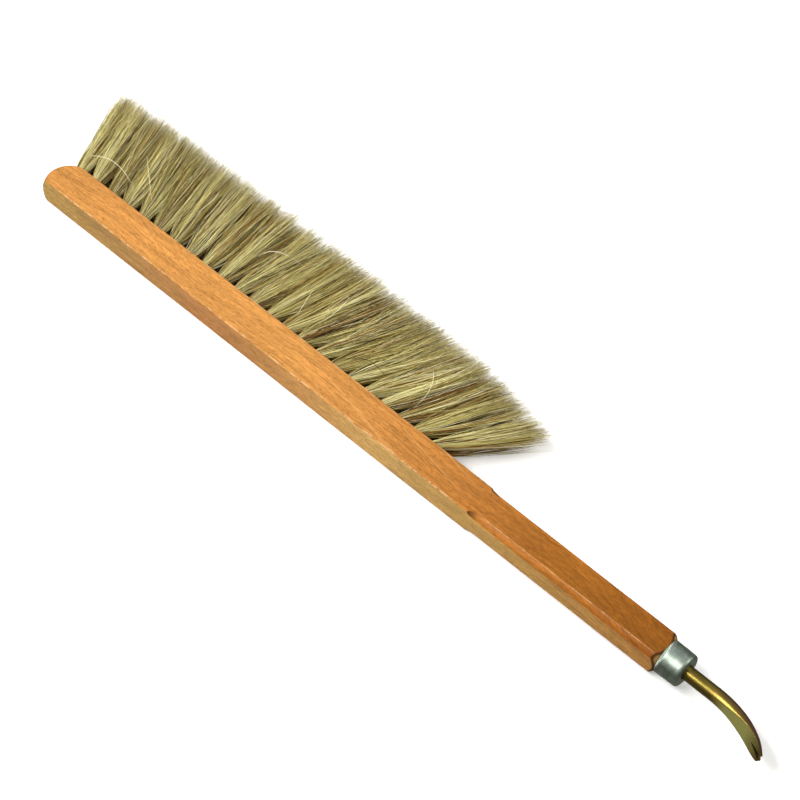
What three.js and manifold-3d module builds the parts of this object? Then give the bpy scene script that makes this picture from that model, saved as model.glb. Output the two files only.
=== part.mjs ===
// Bee brush: a hardwood bar with two rows of bristle tufts along one narrow face, and a bent
// steel nail claw held in the handle end by a pressed ferrule.
//
// Frame, in millimetres: X runs from the rounded tip (-X) to the claw (+X) and is 0 at the
// shoulder where the head meets the handle. Y is 0 in the middle of the bar's width, and the
// bristles stand towards +Y. Z is 0 on the wide side face that the bar lies on.

import * as THREE from 'three';
import { mergeVertices } from 'three/addons/utils/BufferGeometryUtils.js';
import Module from 'manifold-3d';

const wasm = await Module();
wasm.setup();

// Clearance left between two pieces that touch on the real brush.
const GAP = 0.3;

// Wooden bar
const BAR_WIDTH = 17.7;
const BAR_THICKNESS = 15.8;
const HEAD_LENGTH = 272.1;
const HANDLE_LENGTH = 109.4;
const FACE_CROWN = 0.4; // how far the bristle face bulges half way along the head
const HEAD_EDGE_RADIUS = 0.5;
const HANDLE_EDGE_RADIUS = 3.1;
const STOP_LENGTH = 7; // over which the handle's rounded edges run out at the shoulder
const TIP_RADIUS = 11.4; // the tip's outline seen from above
const TIP_CENTRE_Y = -2.4;
const TIP_FALL_LENGTH = 3.2; // how far the tip rounds back towards both wide faces

// Turned end of the handle
const CONE_RADIUS = 8.5;
const CONE_RISE = 4;
const TENON_RADIUS = 7.6;
const TENON_LENGTH = 10.8;
const BORE_DEPTH = 40;

// Ferrule: a drawn steel cap
const FERRULE_RIM_RADIUS = 8.6;
const FERRULE_END_RADIUS = 8.4;
const FERRULE_LENGTH = 12;
const FERRULE_WALL = 0.6;
const FERRULE_CORNER = 1.5;
const FERRULE_HOLE_RADIUS = 3.95;

// Nail claw: one bent rod with a pointed tang in the wood and a split, flattened tip
const ROD_RADIUS = 3.6;
const TANG_LENGTH = 37;
const TANG_POINT_LENGTH = 9;
const TANG_POINT_SCALE = 0.08; // the blunt end of the point beside the full rod
const BEND_START = 137;
const BEND_LENGTH = 39;
const BEND_ANGLE = THREE.MathUtils.degToRad(54);
const BEND_ROLL = THREE.MathUtils.degToRad(24); // the bend leaves the spine side and rises this much
const TIP_THICKNESS = 2;
const BLADE_HALF_WIDTH = 4.5;
const TINE_ROUNDING_START = 0.76; // share of the bend where the tines start to narrow
const TINE_ROUNDING = 0.72;
const NOTCH_LENGTH = 8.5;
const NOTCH_HALF_WIDTH = 1.4;
const NOTCH_ROOT_HALF_WIDTH = 0.25;
const NOTCH_OVERRUN = 2; // by which the notch cutter passes the claw's end

// Bristle tufts
const TUFTS_PER_ROW = 23;
const FIRST_TUFT_X = -262;
const ROW_OFFSET = 3.7; // from the middle of the bar's thickness to each row
const HOLE_RADIUS = 2.7;
const HOLE_DEPTH = 9;
const TUFT_HALF_LENGTH = 4.9; // a spread tuft, along the bar
const TUFT_HALF_THICKNESS = 3.45; // a spread tuft, across the bar
const TUFT_FLARE_HEIGHT = 14;
const FLARE_SHARE = 0.86; // of the full spread, at the flare height
const TUFT_FOOT_GAP = 0.4; // between a tuft's foot and the wall of its hole
const BRISTLE_HEIGHT = 49;
const BRISTLE_HEIGHT_RISE = 2.4; // of the bristle line in the middle of the row
const LAST_TUFT_FALL = 7; // of the bristle line at the shoulder end
const FIRST_LEAN = -16; // degrees, back towards the tip
const LEAN_SWEEP = 38; // degrees gained along the row
const SWEEP_START = 0.1; // share of the row where the lean starts to change
const SWEEP_END = 0.75;
const END_SHARPNESS = 12; // power that keeps an effect to the last tufts of a row

// Smoothness of round shapes
const EDGE_STEPS = 4;
const STOP_STEPS = 6;
const TIP_STEPS = 24;
const TIP_FALL_STEPS = 10;
const ROUND_SEGMENTS = 48;
const BORE_SEGMENTS = 24;
const ROD_SEGMENTS = 24;
const BEND_STEPS = 18;
const HEAD_STEPS = 10;
const CORNER_SEGMENTS = 5;
const HOLE_SEGMENTS = 12;
const TUFT_SEGMENTS = 8;

const MID_Z = BAR_THICKNESS / 2;
const FACE_Y = BAR_WIDTH / 2;
const FAR = 40; // reach of a cutter past the bar
const OVERLAP = 0.02; // by which two joined cutters run into each other
const BLANK_OVERRUN = 1; // of the bar's blank past the rounded tip
const HOLE_OVERRUN = 2; // of a hole's cutter above the bristle face

// The two rows of tufts, from the same first X. The last tufts of a row lean some degrees more.
const ROWS = [
  { name: 'near', z: MID_Z + ROW_OFFSET, pitch: 10.27, lastLean: 13 },
  { name: 'far', z: MID_Z - ROW_OFFSET, pitch: 10.12, lastLean: 12 },
];

const wood = new THREE.MeshStandardMaterial({ color: 0xc07a3a, roughness: 0.55, metalness: 0 });
const zinc = new THREE.MeshStandardMaterial({ color: 0x9aa49c, roughness: 0.35, metalness: 1 });
const brassedSteel = new THREE.MeshStandardMaterial({ color: 0x9c9250, roughness: 0.25, metalness: 1 });
const horsehair = new THREE.MeshStandardMaterial({ color: 0xb5a878, roughness: 0.7, metalness: 0 });

// A closed body through rings of points. Each ring runs anticlockwise seen from the last ring.
function loft(rings) {
  const count = rings[0].length;
  const positions = rings.flat().flatMap((point) => point.toArray());
  const indices = [];
  for (let ring = 0; ring < rings.length - 1; ring += 1) {
    for (let i = 0; i < count; i += 1) {
      const a = ring * count + i;
      const b = ring * count + ((i + 1) % count);
      indices.push(a, b, b + count, a, b + count, a + count);
    }
  }
  const lastRing = (rings.length - 1) * count;
  for (let i = 1; i < count - 1; i += 1) {
    indices.push(0, i + 1, i);
    indices.push(lastRing, lastRing + i, lastRing + i + 1);
  }
  const geometry = new THREE.BufferGeometry();
  geometry.setAttribute('position', new THREE.Float32BufferAttribute(positions, 3));
  geometry.setIndex(indices);
  return geometry;
}

function toSolid(geometry) {
  const bare = geometry.clone();
  bare.deleteAttribute('normal');
  bare.deleteAttribute('uv');
  const merged = mergeVertices(bare, 1e-4);
  const mesh = new wasm.Mesh({
    numProp: 3,
    vertProperties: new Float32Array(merged.attributes.position.array),
    triVerts: new Uint32Array(merged.index.array),
  });
  return new wasm.Manifold(mesh);
}

function toGeometry(solid) {
  const mesh = solid.getMesh();
  const geometry = new THREE.BufferGeometry();
  geometry.setAttribute('position', new THREE.BufferAttribute(mesh.vertProperties, 3));
  geometry.setIndex(new THREE.BufferAttribute(mesh.triVerts, 1));
  geometry.computeVertexNormals();
  return geometry;
}

// Turns a profile of [x, radius] points about the bar's centre line.
function turned(profile, segments) {
  const points = profile.map(([x, radius]) => new THREE.Vector2(radius, x));
  const geometry = new THREE.LatheGeometry(points, segments);
  geometry.rotateZ(-Math.PI / 2);
  geometry.translate(0, 0, MID_Z);
  return geometry;
}

// Corner radius of the bar's section: small on the head, running out to full on the handle.
function edgeRadius(x) {
  const run = THREE.MathUtils.clamp(x / STOP_LENGTH, 0, 1);
  const ease = Math.sqrt(1 - (1 - run) ** 2);
  return THREE.MathUtils.lerp(HEAD_EDGE_RADIUS, HANDLE_EDGE_RADIUS, ease);
}

function crown(x) {
  const along = THREE.MathUtils.clamp(-x / HEAD_LENGTH, 0, 1);
  return FACE_CROWN * Math.sin(Math.PI * along);
}

function barSection(x) {
  const radius = edgeRadius(x);
  const top = FACE_Y + crown(x);
  const corners = [
    [top - radius, BAR_THICKNESS - radius],
    [-FACE_Y + radius, BAR_THICKNESS - radius],
    [-FACE_Y + radius, radius],
    [top - radius, radius],
  ];
  return corners.flatMap(([y, z], corner) =>
    Array.from({ length: EDGE_STEPS + 1 }, (_, step) => {
      const angle = (corner + step / EDGE_STEPS) * (Math.PI / 2);
      return new THREE.Vector3(x, y + radius * Math.cos(angle), z + radius * Math.sin(angle));
    }),
  );
}

function barBlank() {
  const stations = [];
  for (let i = 0; i < HEAD_STEPS; i += 1) {
    stations.push(-HEAD_LENGTH - BLANK_OVERRUN + (i * HEAD_LENGTH) / HEAD_STEPS);
  }
  for (let i = 0; i <= STOP_STEPS; i += 1) stations.push(STOP_LENGTH * (i / STOP_STEPS) ** 2);
  stations.push(HANDLE_LENGTH + TENON_LENGTH);
  return toSolid(loft(stations.map(barSection)));
}

// The tip's outline seen from above, moved back along the bar by the tip's fall at height z.
function tipOutline(z, fall) {
  const centreX = -HEAD_LENGTH + TIP_RADIUS + fall;
  const end = HANDLE_LENGTH + FAR;
  const arc = new THREE.EllipseCurve(
    centreX, TIP_CENTRE_Y, TIP_RADIUS, TIP_RADIUS, Math.PI / 2, (3 * Math.PI) / 2, false,
  );
  const ring = arc.getPoints(TIP_STEPS).map((point) => new THREE.Vector3(point.x, point.y, z));
  ring.push(new THREE.Vector3(end, TIP_CENTRE_Y - TIP_RADIUS, z));
  ring.push(new THREE.Vector3(end, TIP_CENTRE_Y + TIP_RADIUS, z));
  return ring;
}

// Keeps everything inside the tip, which is rounded in plan and falls back to both wide faces.
function roundedTip() {
  const halfHeight = MID_Z + OVERLAP;
  const rings = [];
  for (let i = 0; i <= TIP_FALL_STEPS; i += 1) {
    const angle = Math.PI * (i / TIP_FALL_STEPS - 0.5);
    const fall = TIP_FALL_LENGTH * (1 - Math.cos(angle));
    rings.push(tipOutline(MID_Z + halfHeight * Math.sin(angle), fall));
  }
  return toSolid(loft(rings));
}

// Keeps the cone and tenon that the lathe leaves at the handle's end.
function turnedEnd() {
  const tenonEnd = HANDLE_LENGTH + TENON_LENGTH;
  const profile = [
    [-HEAD_LENGTH - FAR, 0],
    [-HEAD_LENGTH - FAR, FAR],
    [HANDLE_LENGTH - CONE_RISE, FAR],
    [HANDLE_LENGTH - CONE_RISE, CONE_RADIUS + CONE_RISE],
    [HANDLE_LENGTH, CONE_RADIUS],
    [HANDLE_LENGTH, TENON_RADIUS],
    [tenonEnd, TENON_RADIUS],
    [tenonEnd, 0],
  ];
  return toSolid(turned(profile, ROUND_SEGMENTS));
}

// The tenon's two flats lie just inside the bar's wide faces, clear of the ferrule's rim.
function tenonFlats() {
  const length = TENON_LENGTH + FAR;
  const height = BAR_THICKNESS - 2 * GAP;
  const end = new THREE.BoxGeometry(length, BAR_WIDTH, height);
  end.translate(HANDLE_LENGTH + length / 2, 0, MID_Z);
  const rest = new THREE.BoxGeometry(HEAD_LENGTH + HANDLE_LENGTH + FAR, FAR * 2, FAR * 2);
  rest.translate((HANDLE_LENGTH - HEAD_LENGTH - FAR) / 2 + OVERLAP / 2, 0, MID_Z);
  return toSolid(end).add(toSolid(rest));
}

function tangBore() {
  const mouth = HANDLE_LENGTH + TENON_LENGTH + 1;
  const bottom = HANDLE_LENGTH + TENON_LENGTH - BORE_DEPTH;
  const radius = ROD_RADIUS + GAP;
  return toSolid(turned([[bottom, 0], [bottom, radius], [mouth, radius], [mouth, 0]], BORE_SEGMENTS));
}

// Lean of a tuft along the bar, in radians: back towards the tip at the start of the row,
// swept towards the handle at its end.
function tuftLean(index, row) {
  const along = index / (TUFTS_PER_ROW - 1);
  const sweep = THREE.MathUtils.smoothstep(along, SWEEP_START, SWEEP_END);
  const degrees = FIRST_LEAN + LEAN_SWEEP * sweep + row.lastLean * along ** END_SHARPNESS;
  return THREE.MathUtils.degToRad(degrees);
}

function tuftHeight(index) {
  const along = index / (TUFTS_PER_ROW - 1);
  const rise = BRISTLE_HEIGHT_RISE * Math.sin(Math.PI * along);
  return BRISTLE_HEIGHT + rise - LAST_TUFT_FALL * along ** END_SHARPNESS;
}

// An oval across the bristle direction, at a height above the bristle face.
function tuftRing(index, row, height, halfLength, halfThickness, segments) {
  const x = FIRST_TUFT_X + index * row.pitch + height * Math.tan(tuftLean(index, row));
  return Array.from({ length: segments }, (_, i) => {
    const angle = (i / segments) * 2 * Math.PI;
    return new THREE.Vector3(
      x + halfLength * Math.sin(angle),
      FACE_Y + height,
      row.z + halfThickness * Math.cos(angle),
    );
  });
}

function tuftHole(index, row) {
  const ring = (height) => tuftRing(index, row, height, HOLE_RADIUS, HOLE_RADIUS, HOLE_SEGMENTS);
  return toSolid(loft([ring(-HOLE_DEPTH), ring(HOLE_OVERRUN)]));
}

// A plain solid for one tuft: straight in its hole, then flared, then straight to the top.
function tuftGeometry(index, row) {
  const foot = HOLE_RADIUS - TUFT_FOOT_GAP;
  const levels = [
    { height: GAP - HOLE_DEPTH, halfLength: foot, halfThickness: foot },
    { height: FACE_CROWN, halfLength: foot, halfThickness: foot },
    {
      height: TUFT_FLARE_HEIGHT,
      halfLength: TUFT_HALF_LENGTH * FLARE_SHARE,
      halfThickness: TUFT_HALF_THICKNESS * FLARE_SHARE,
    },
    { height: tuftHeight(index), halfLength: TUFT_HALF_LENGTH, halfThickness: TUFT_HALF_THICKNESS },
  ];
  const geometry = loft(
    levels.map(({ height, halfLength, halfThickness }) =>
      tuftRing(index, row, height, halfLength, halfThickness, TUFT_SEGMENTS),
    ),
  );
  geometry.computeVertexNormals();
  return geometry;
}

function woodBody() {
  let body = barBlank().intersect(roundedTip()).intersect(turnedEnd()).intersect(tenonFlats());
  body = body.subtract(tangBore());
  for (const row of ROWS) {
    for (let index = 0; index < TUFTS_PER_ROW; index += 1) {
      body = body.subtract(tuftHole(index, row));
    }
  }
  return toGeometry(body);
}

function ferruleGeometry() {
  const rim = HANDLE_LENGTH + GAP;
  const end = rim + FERRULE_LENGTH;
  const corner = new THREE.EllipseCurve(
    end - FERRULE_CORNER,
    FERRULE_END_RADIUS - FERRULE_CORNER,
    FERRULE_CORNER,
    FERRULE_CORNER,
    Math.PI / 2,
    0,
    true,
  );
  const outer = corner.getPoints(CORNER_SEGMENTS).map((point) => [point.x, point.y]);
  const innerEnd = end - FERRULE_WALL;
  const profile = [
    [rim, FERRULE_RIM_RADIUS],
    ...outer,
    [end, FERRULE_HOLE_RADIUS],
    [innerEnd, FERRULE_HOLE_RADIUS],
    [innerEnd, FERRULE_END_RADIUS - FERRULE_CORNER],
    [end - FERRULE_CORNER, FERRULE_END_RADIUS - FERRULE_WALL],
    [rim, FERRULE_RIM_RADIUS - FERRULE_WALL],
    [rim, FERRULE_RIM_RADIUS],
  ];
  return toGeometry(toSolid(turned(profile, ROUND_SEGMENTS)));
}

// Section of the claw at a distance past the start of the bend. The concave side is ground
// flat, deeper towards the tip, while the blade widens.
function clawSection(centre, towardsHollow, across, run) {
  const flat = THREE.MathUtils.lerp(ROD_RADIUS, TIP_THICKNESS - ROD_RADIUS, run);
  const endRun = Math.max(0, (run - TINE_ROUNDING_START) / (1 - TINE_ROUNDING_START));
  const rounding = Math.sqrt(1 - TINE_ROUNDING * endRun ** 2);
  const halfWidth = THREE.MathUtils.lerp(ROD_RADIUS, BLADE_HALF_WIDTH, run) * rounding;
  return Array.from({ length: ROD_SEGMENTS }, (_, i) => {
    const angle = ((i + 0.5) / ROD_SEGMENTS) * 2 * Math.PI;
    const depth = Math.min(ROD_RADIUS * Math.cos(angle), flat);
    return centre
      .clone()
      .addScaledVector(towardsHollow, depth)
      .addScaledVector(across, halfWidth * Math.sin(angle));
  });
}

function clawFrame(distance) {
  const angle = BEND_ANGLE * (distance / BEND_LENGTH);
  const radius = BEND_LENGTH / BEND_ANGLE;
  const hollow = new THREE.Vector3(0, -Math.cos(BEND_ROLL), Math.sin(BEND_ROLL));
  const along = new THREE.Vector3(1, 0, 0);
  const centre = new THREE.Vector3(BEND_START, 0, MID_Z)
    .addScaledVector(along, radius * Math.sin(angle))
    .addScaledVector(hollow, radius * (1 - Math.cos(angle)));
  const tangent = along.clone().multiplyScalar(Math.cos(angle)).addScaledVector(hollow, Math.sin(angle));
  const towardsHollow = hollow.clone().multiplyScalar(Math.cos(angle));
  towardsHollow.addScaledVector(along, -Math.sin(angle));
  const across = new THREE.Vector3().crossVectors(tangent, towardsHollow);
  return { centre, tangent, towardsHollow, across };
}

// A wedge that opens towards the claw's tip and passes through the blade.
function clawNotch() {
  const { centre, tangent, towardsHollow, across } = clawFrame(BEND_LENGTH);
  const outline = new THREE.Shape();
  outline.moveTo(-NOTCH_LENGTH, -NOTCH_ROOT_HALF_WIDTH);
  outline.lineTo(NOTCH_OVERRUN, -NOTCH_HALF_WIDTH);
  outline.lineTo(NOTCH_OVERRUN, NOTCH_HALF_WIDTH);
  outline.lineTo(-NOTCH_LENGTH, NOTCH_ROOT_HALF_WIDTH);
  const geometry = new THREE.ExtrudeGeometry(outline, { depth: FAR, bevelEnabled: false });
  geometry.translate(0, 0, -FAR / 2);
  const placing = new THREE.Matrix4().makeBasis(tangent, across, tangent.clone().cross(across));
  geometry.applyMatrix4(placing.setPosition(centre));
  return toSolid(geometry);
}

function clawGeometry() {
  const start = clawFrame(0);
  const tangEnd = HANDLE_LENGTH + TENON_LENGTH - TANG_LENGTH;
  const rings = [];
  const straightRing = (x, scale) =>
    clawSection(new THREE.Vector3(0, 0, 0), start.towardsHollow, start.across, 0).map((point) =>
      point.multiplyScalar(scale).add(new THREE.Vector3(x, 0, MID_Z)),
    );
  rings.push(straightRing(tangEnd, TANG_POINT_SCALE));
  rings.push(straightRing(tangEnd + TANG_POINT_LENGTH, 1));
  for (let i = 0; i <= BEND_STEPS; i += 1) {
    const run = i / BEND_STEPS;
    const { centre, towardsHollow, across } = clawFrame(run * BEND_LENGTH);
    rings.push(clawSection(centre, towardsHollow, across, run));
  }
  return toGeometry(toSolid(loft(rings)).subtract(clawNotch()));
}

function addPiece(parent, name, geometry, material) {
  const piece = new THREE.Mesh(geometry, material.clone());
  piece.name = name;
  parent.add(piece);
}

const brush = new THREE.Group();
addPiece(brush, 'wood_body', woodBody(), wood);
addPiece(brush, 'ferrule', ferruleGeometry(), zinc);
addPiece(brush, 'nail_claw', clawGeometry(), brassedSteel);
for (const row of ROWS) {
  for (let index = 0; index < TUFTS_PER_ROW; index += 1) {
    const name = `tuft_${row.name}_${String(index + 1).padStart(2, '0')}`;
    addPiece(brush, name, tuftGeometry(index, row), horsehair);
  }
}

export default brush;
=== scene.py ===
"""Bee brush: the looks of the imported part.

Lengths are millimetres until a mesh is made, and metres in the materials and on the stage.
"""

import math

import bpy
import numpy as np
from mathutils import Matrix, Vector


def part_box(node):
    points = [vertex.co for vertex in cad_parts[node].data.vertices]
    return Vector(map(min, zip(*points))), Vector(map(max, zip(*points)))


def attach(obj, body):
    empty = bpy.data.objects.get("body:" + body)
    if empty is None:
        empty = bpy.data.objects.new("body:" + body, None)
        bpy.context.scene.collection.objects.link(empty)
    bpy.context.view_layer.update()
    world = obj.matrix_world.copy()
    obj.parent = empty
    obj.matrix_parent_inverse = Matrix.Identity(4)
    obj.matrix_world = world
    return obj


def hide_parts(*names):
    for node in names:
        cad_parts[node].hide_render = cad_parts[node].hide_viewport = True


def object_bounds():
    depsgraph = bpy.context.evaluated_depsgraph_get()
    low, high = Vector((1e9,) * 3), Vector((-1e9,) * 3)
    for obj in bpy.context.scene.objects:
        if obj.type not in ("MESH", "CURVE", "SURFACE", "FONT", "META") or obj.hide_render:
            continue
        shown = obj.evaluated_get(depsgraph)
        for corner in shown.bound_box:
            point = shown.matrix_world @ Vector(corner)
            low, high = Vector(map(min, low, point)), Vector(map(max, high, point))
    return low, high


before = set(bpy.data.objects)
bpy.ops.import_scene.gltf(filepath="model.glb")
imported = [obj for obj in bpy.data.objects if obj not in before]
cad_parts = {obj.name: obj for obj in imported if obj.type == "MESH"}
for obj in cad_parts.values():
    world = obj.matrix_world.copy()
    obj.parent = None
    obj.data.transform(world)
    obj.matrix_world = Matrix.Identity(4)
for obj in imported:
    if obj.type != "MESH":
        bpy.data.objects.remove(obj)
CAD_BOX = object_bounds()

MM = 0.001
BODY = "root"

# ---------------------------------------------------------------- wooden bar
BAR_WIDTH = 17.7
BAR_THICKNESS = 15.8
MID_Z = BAR_THICKNESS / 2
FACE_Y = BAR_WIDTH / 2
FACE_CROWN = 0.4
HEAD_EDGE_RADIUS = 0.55
HANDLE_EDGE_RADIUS = 3.1
STOP_LENGTH = 7.0
TIP_RADIUS = 11.4
TIP_CENTRE_Y = -2.4
TIP_FALL_LENGTH = 3.2
TIP_BLUNTING = 0.02  # keeps the tip's fall finite at the wide faces
UNTURNED_RADIUS = 100.0  # the lathe leaves everything
CONE_RADIUS = 8.5
CONE_RISE = 4.0
TENON_RADIUS = 7.6
TENON_LENGTH = 10.8
TENON_FLAT_GAP = 0.3
BORE_RADIUS = 3.8
BORE_DEPTH = 40.0
HOLE_RADIUS = 2.7
HOLE_DEPTH = 9.0
SIDE_STEPS = 30
CORNER_STEPS = 8
CORNER_SPAN = 0.2  # radians to each side of a corner where points stand close together
STATION_STEP = 2.0
TIP_STATIONS = 44
TIP_STATIONS_SPAN = 16.0
TIP_CENTRE_SPAN = 14.0  # length over which the sections' centre comes back to the bar's
SEARCH_RADIUS = 30.0  # from the centre to a point that is surely outside
SEARCH_STEPS = 26
WAVE_HEIGHT = 0.035  # unevenness of the sanded wood
LONG_WAVE = 23.0
SHORT_WAVE = 9.1
HOLE_SIDES = 20
BORE_SIDES = 32
WOOD_SHARP_DEGREES = 32

# ---------------------------------------------------------------- ferrule
FERRULE_WALL = 0.6
FERRULE_CORNER = 1.5
FERRULE_TAPER = 0.2
RIM_TEETH = 62
POINTS_PER_TOOTH = 10
TEETH_REACH = 1.6
TEETH_DEPTH = 0.26
TEETH_FADE = 0.7  # power with which the teeth fade away from the rim
ROD_CLEARANCE = 0.35
LIP_RADIUS = 0.1
FERRULE_SHARP_DEGREES = 50

# ---------------------------------------------------------------- nail claw
ROD_RADIUS = 3.6
TANG_LENGTH = 37.0
TANG_POINT_LENGTH = 9.0
BEND_START = 137.0
BEND_LENGTH = 39.0
BEND_ANGLE = math.radians(54)
BEND_ROLL = math.radians(24)
TIP_THICKNESS = 2.0
BLADE_HALF_WIDTH = 4.5
FLAT_ONSET = 1.5  # power that delays the ground flat
TINE_ROUNDING_START = 0.76
TINE_ROUNDING = 0.72
GROUND_EDGE = 0.25  # softness of the edge round the ground flat
NOTCH_LENGTH = 8.5
NOTCH_HALF_WIDTH = 1.4
NOTCH_ROOT_RADIUS = 0.25
CLAW_SIDES = 72
CLAW_RINGS = 90
ROD_RINGS = 30
CLAW_SHARP_DEGREES = 40

# ---------------------------------------------------------------- bristles
HAIRS_PER_TUFT = 560
HAIR_SIDES = 3
HAIR_RINGS = 9
HAIR_ROOT_RADIUS = 0.11
HAIR_TIP_RADIUS = 0.03
TAPER_START = 0.68  # share of a hair's length where it starts to taper
TUFT_ROOT_RADIUS = 2.45
ROOT_DEPTH = 3.5
OFF_HAIR = np.array([0.31, 0.12, 0.94])  # a direction that no hair runs in
LOCKS_PER_TUFT = 22
LOCK_GATHER = 0.45  # how far a lock's hairs draw together half way up
LOCK_RELEASE = 0.8  # how much of that they lose again at the tips
TUFT_SPREAD = (1.6, 0.7)  # growth of a tuft's width along and across the bar
SPREAD_HEIGHT = (3.5, 10.0)  # range over which a tuft reaches most of its width
TUFT_BOW = 1.3  # how far a tuft that leans to the handle bows out half way up
END_TUCK = 0.62  # how much of its spread a row's first tuft keeps towards the tip
TUFT_FULLNESS = (0.8, 1.2)
LEAN_SHARE = np.array([1.0, 0.5])  # how freely hairs stray along and across the bar
# Standard deviations: leans are per millimetre of height, bends and waves at the hair's tip.
TUFT_LEAN = 0.02
LOCK_LEAN = 0.05
HAIR_LEAN = 0.024
WILD_LEAN = 0.1
WILD_SHARE = 0.12
LOCK_BEND = 1.0
HAIR_BEND = 1.4
HAIR_WAVE = 0.3
WAVE_TURN = 7.0  # radians of a hair's wave from root to tip
MEAN_LENGTH = 0.96  # share of the CAD tuft's height
LENGTH_VARIATION = 0.042
SHORT_SHARE = 0.12
SHORT_LENGTH = (0.8, 0.98)
LONG_SHARE = 0.12
LONG_EXTRA = (0.8, 3.6)
HAIR_SEED = 3000

# A hair's tone runs from 0, dark, to 1, nearly white.
TIP_TONE = 0.63  # tufts near the tip of the head
MIDDLE_TONE = 0.56
HANDLE_TONE_DROP = 0.08
TUFT_TONE_VARIATION = 0.03
LOCK_TONE_VARIATION = 0.17
LOCK_TONE_LIMIT = 0.18
HAIR_TONE_VARIATION = 0.12
# Painted shade: hairs at a tuft's sides along the bar are darker, those in its middle lighter.
EDGE_SHADE_DROP = 0.08
PALE_LIMIT = 0.8  # palest tone of an ordinary hair
DARK_SHARE = 0.13
DARK_TONES = (0.0, 0.12)
BROWN_SHARE = 0.12
BROWN_TONES = (0.14, 0.3)
PALE_SHARE = 0.12
PALE_TONES = (0.85, 1.0)
FLOOR_GAP = 0.15  # between the lowest hairs and the table
STRAY_RADIUS = 0.14
STRAY_RINGS = 25
STRAY_Z = 14.6
STRAY_RISE = 2.2  # how far a loose hair's middle stands in front of its ends
# Loose hairs that lie across the tufts: start, middle and end as X and Y, then tone.
STRAY_HAIRS = [
    ((-265, 16.0), (-252, 21.4), (-235, 17.8), 0.97),
    ((-244, 36.0), (-234, 27.0), (-222, 17.0), 0.85),
    ((-165, 30.0), (-158, 37.6), (-142, 40.5), 1.0),
    ((-174, 37.0), (-166, 44.0), (-155, 47.5), 0.06),
    ((-119, 43.5), (-116, 34.0), (-118, 21.0), 0.97),
    ((-134, 38.0), (-131, 28.0), (-128, 15.5), 0.95),
    ((-206, 47.0), (-202, 36.0), (-205, 22.0), 0.95),
    ((-96, 15.0), (-86, 21.0), (-74, 20.0), 0.05),
    ((-232, 45.0), (-222, 38.0), (-218, 25.0), 0.2),
    ((-64, 40.0), (-56, 30.0), (-55, 17.0), 0.95),
]

# ---------------------------------------------------------------- stage
FLOOR_HALF_SIZE = 6.0
FLOOR_GLOW = 0.3  # strength of the floor's own light, which only the camera sees
CAMERA_TARGET = Vector((-65.03, 19.37, 8.0)) * MM
CAMERA_TURN = math.radians(19.294)
CAMERA_TILT = math.radians(28.065)
CAMERA_ROLL = math.radians(37.858)
CAMERA_DISTANCE = 1.431
CAMERA_LENS = 139.2
CAMERA_SENSOR = 36
SOFT_LIGHT = (0.48, 0.475, 0.45, 1)
BACKDROP = (0.93, 0.93, 0.93, 1)
# Soft boxes: name, direction from the brush, distance, size and power in watts.
LIGHTS = [
    ("key", (-0.36, -0.42, 0.82), 1.5, (0.5, 0.9), 19),
    ("fill", (0.5, 0.55, 0.7), 1.8, (1.2, 1.2), 9),
    ("glint", (-0.76, -0.06, 0.64), 1.6, (0.3, 0.3), 7),
]


def smoothstep(value, low, high):
    t = np.clip((np.asarray(value, float) - low) / (high - low), 0, 1)
    return t * t * (3 - 2 * t)


def lerp(a, b, t):
    return a + (b - a) * t


# ================================================================ meshes


def make_piece(name, points, faces, material):
    """A smooth-shaded piece from points in millimetres and a list of faces."""
    mesh = bpy.data.meshes.new(name)
    mesh.from_pydata((np.asarray(points) * MM).tolist(), [], faces)
    mesh.update()
    mesh.materials.append(material)
    mesh.polygons.foreach_set("use_smooth", [True] * len(mesh.polygons))
    piece = bpy.data.objects.new(name, mesh)
    bpy.context.scene.collection.objects.link(piece)
    return piece


def ring_faces(ring_count, per_ring):
    """Quads between rings of points, and one face over each end."""
    faces = []
    for ring in range(ring_count - 1):
        for i in range(per_ring):
            a = ring * per_ring + i
            b = ring * per_ring + (i + 1) % per_ring
            faces.append((a, b, b + per_ring, a + per_ring))
    last = (ring_count - 1) * per_ring
    faces.append(tuple(range(per_ring - 1, -1, -1)))
    faces.append(tuple(range(last, last + per_ring)))
    return faces


def loop_faces(ring_count, per_ring):
    """Quads between rings of points, where the last ring joins the first."""
    faces = []
    for ring in range(ring_count):
        following = (ring + 1) % ring_count
        for i in range(per_ring):
            j = (i + 1) % per_ring
            a, b = ring * per_ring + i, ring * per_ring + j
            c, d = following * per_ring + j, following * per_ring + i
            faces.append((a, b, c, d))
    return faces


def cut(piece, cutters, sharp_degrees):
    """Cuts the closed cutter meshes out of a piece and marks the sharp edges."""
    for cutter in cutters:
        change = piece.modifiers.new("cut", "BOOLEAN")
        change.operation = "DIFFERENCE"
        change.solver = "MANIFOLD"
        change.object = cutter
    graph = bpy.context.evaluated_depsgraph_get()
    mesh = bpy.data.meshes.new_from_object(piece.evaluated_get(graph), depsgraph=graph)
    piece.modifiers.clear()
    piece.data = mesh
    mesh.polygons.foreach_set("use_smooth", [True] * len(mesh.polygons))
    mesh.set_sharp_from_angle(angle=math.radians(sharp_degrees))
    for cutter in cutters:
        bpy.data.objects.remove(cutter)


def cutter_object(points, faces):
    """A closed mesh, given in millimetres, that is cut out of a piece and then removed."""
    mesh = bpy.data.meshes.new("cutter")
    mesh.from_pydata((np.asarray(points) * MM).tolist(), [], faces)
    mesh.update()
    cutter = bpy.data.objects.new("cutter", mesh)
    bpy.context.scene.collection.objects.link(cutter)
    return cutter


# ================================================================ wooden bar


def wood_span():
    """The head's length and the handle's length, from the CAD bar."""
    low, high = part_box("wood_body")
    return -low.x / MM, high.x / MM - TENON_LENGTH


HEAD_LENGTH, HANDLE_LENGTH = wood_span()


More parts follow.
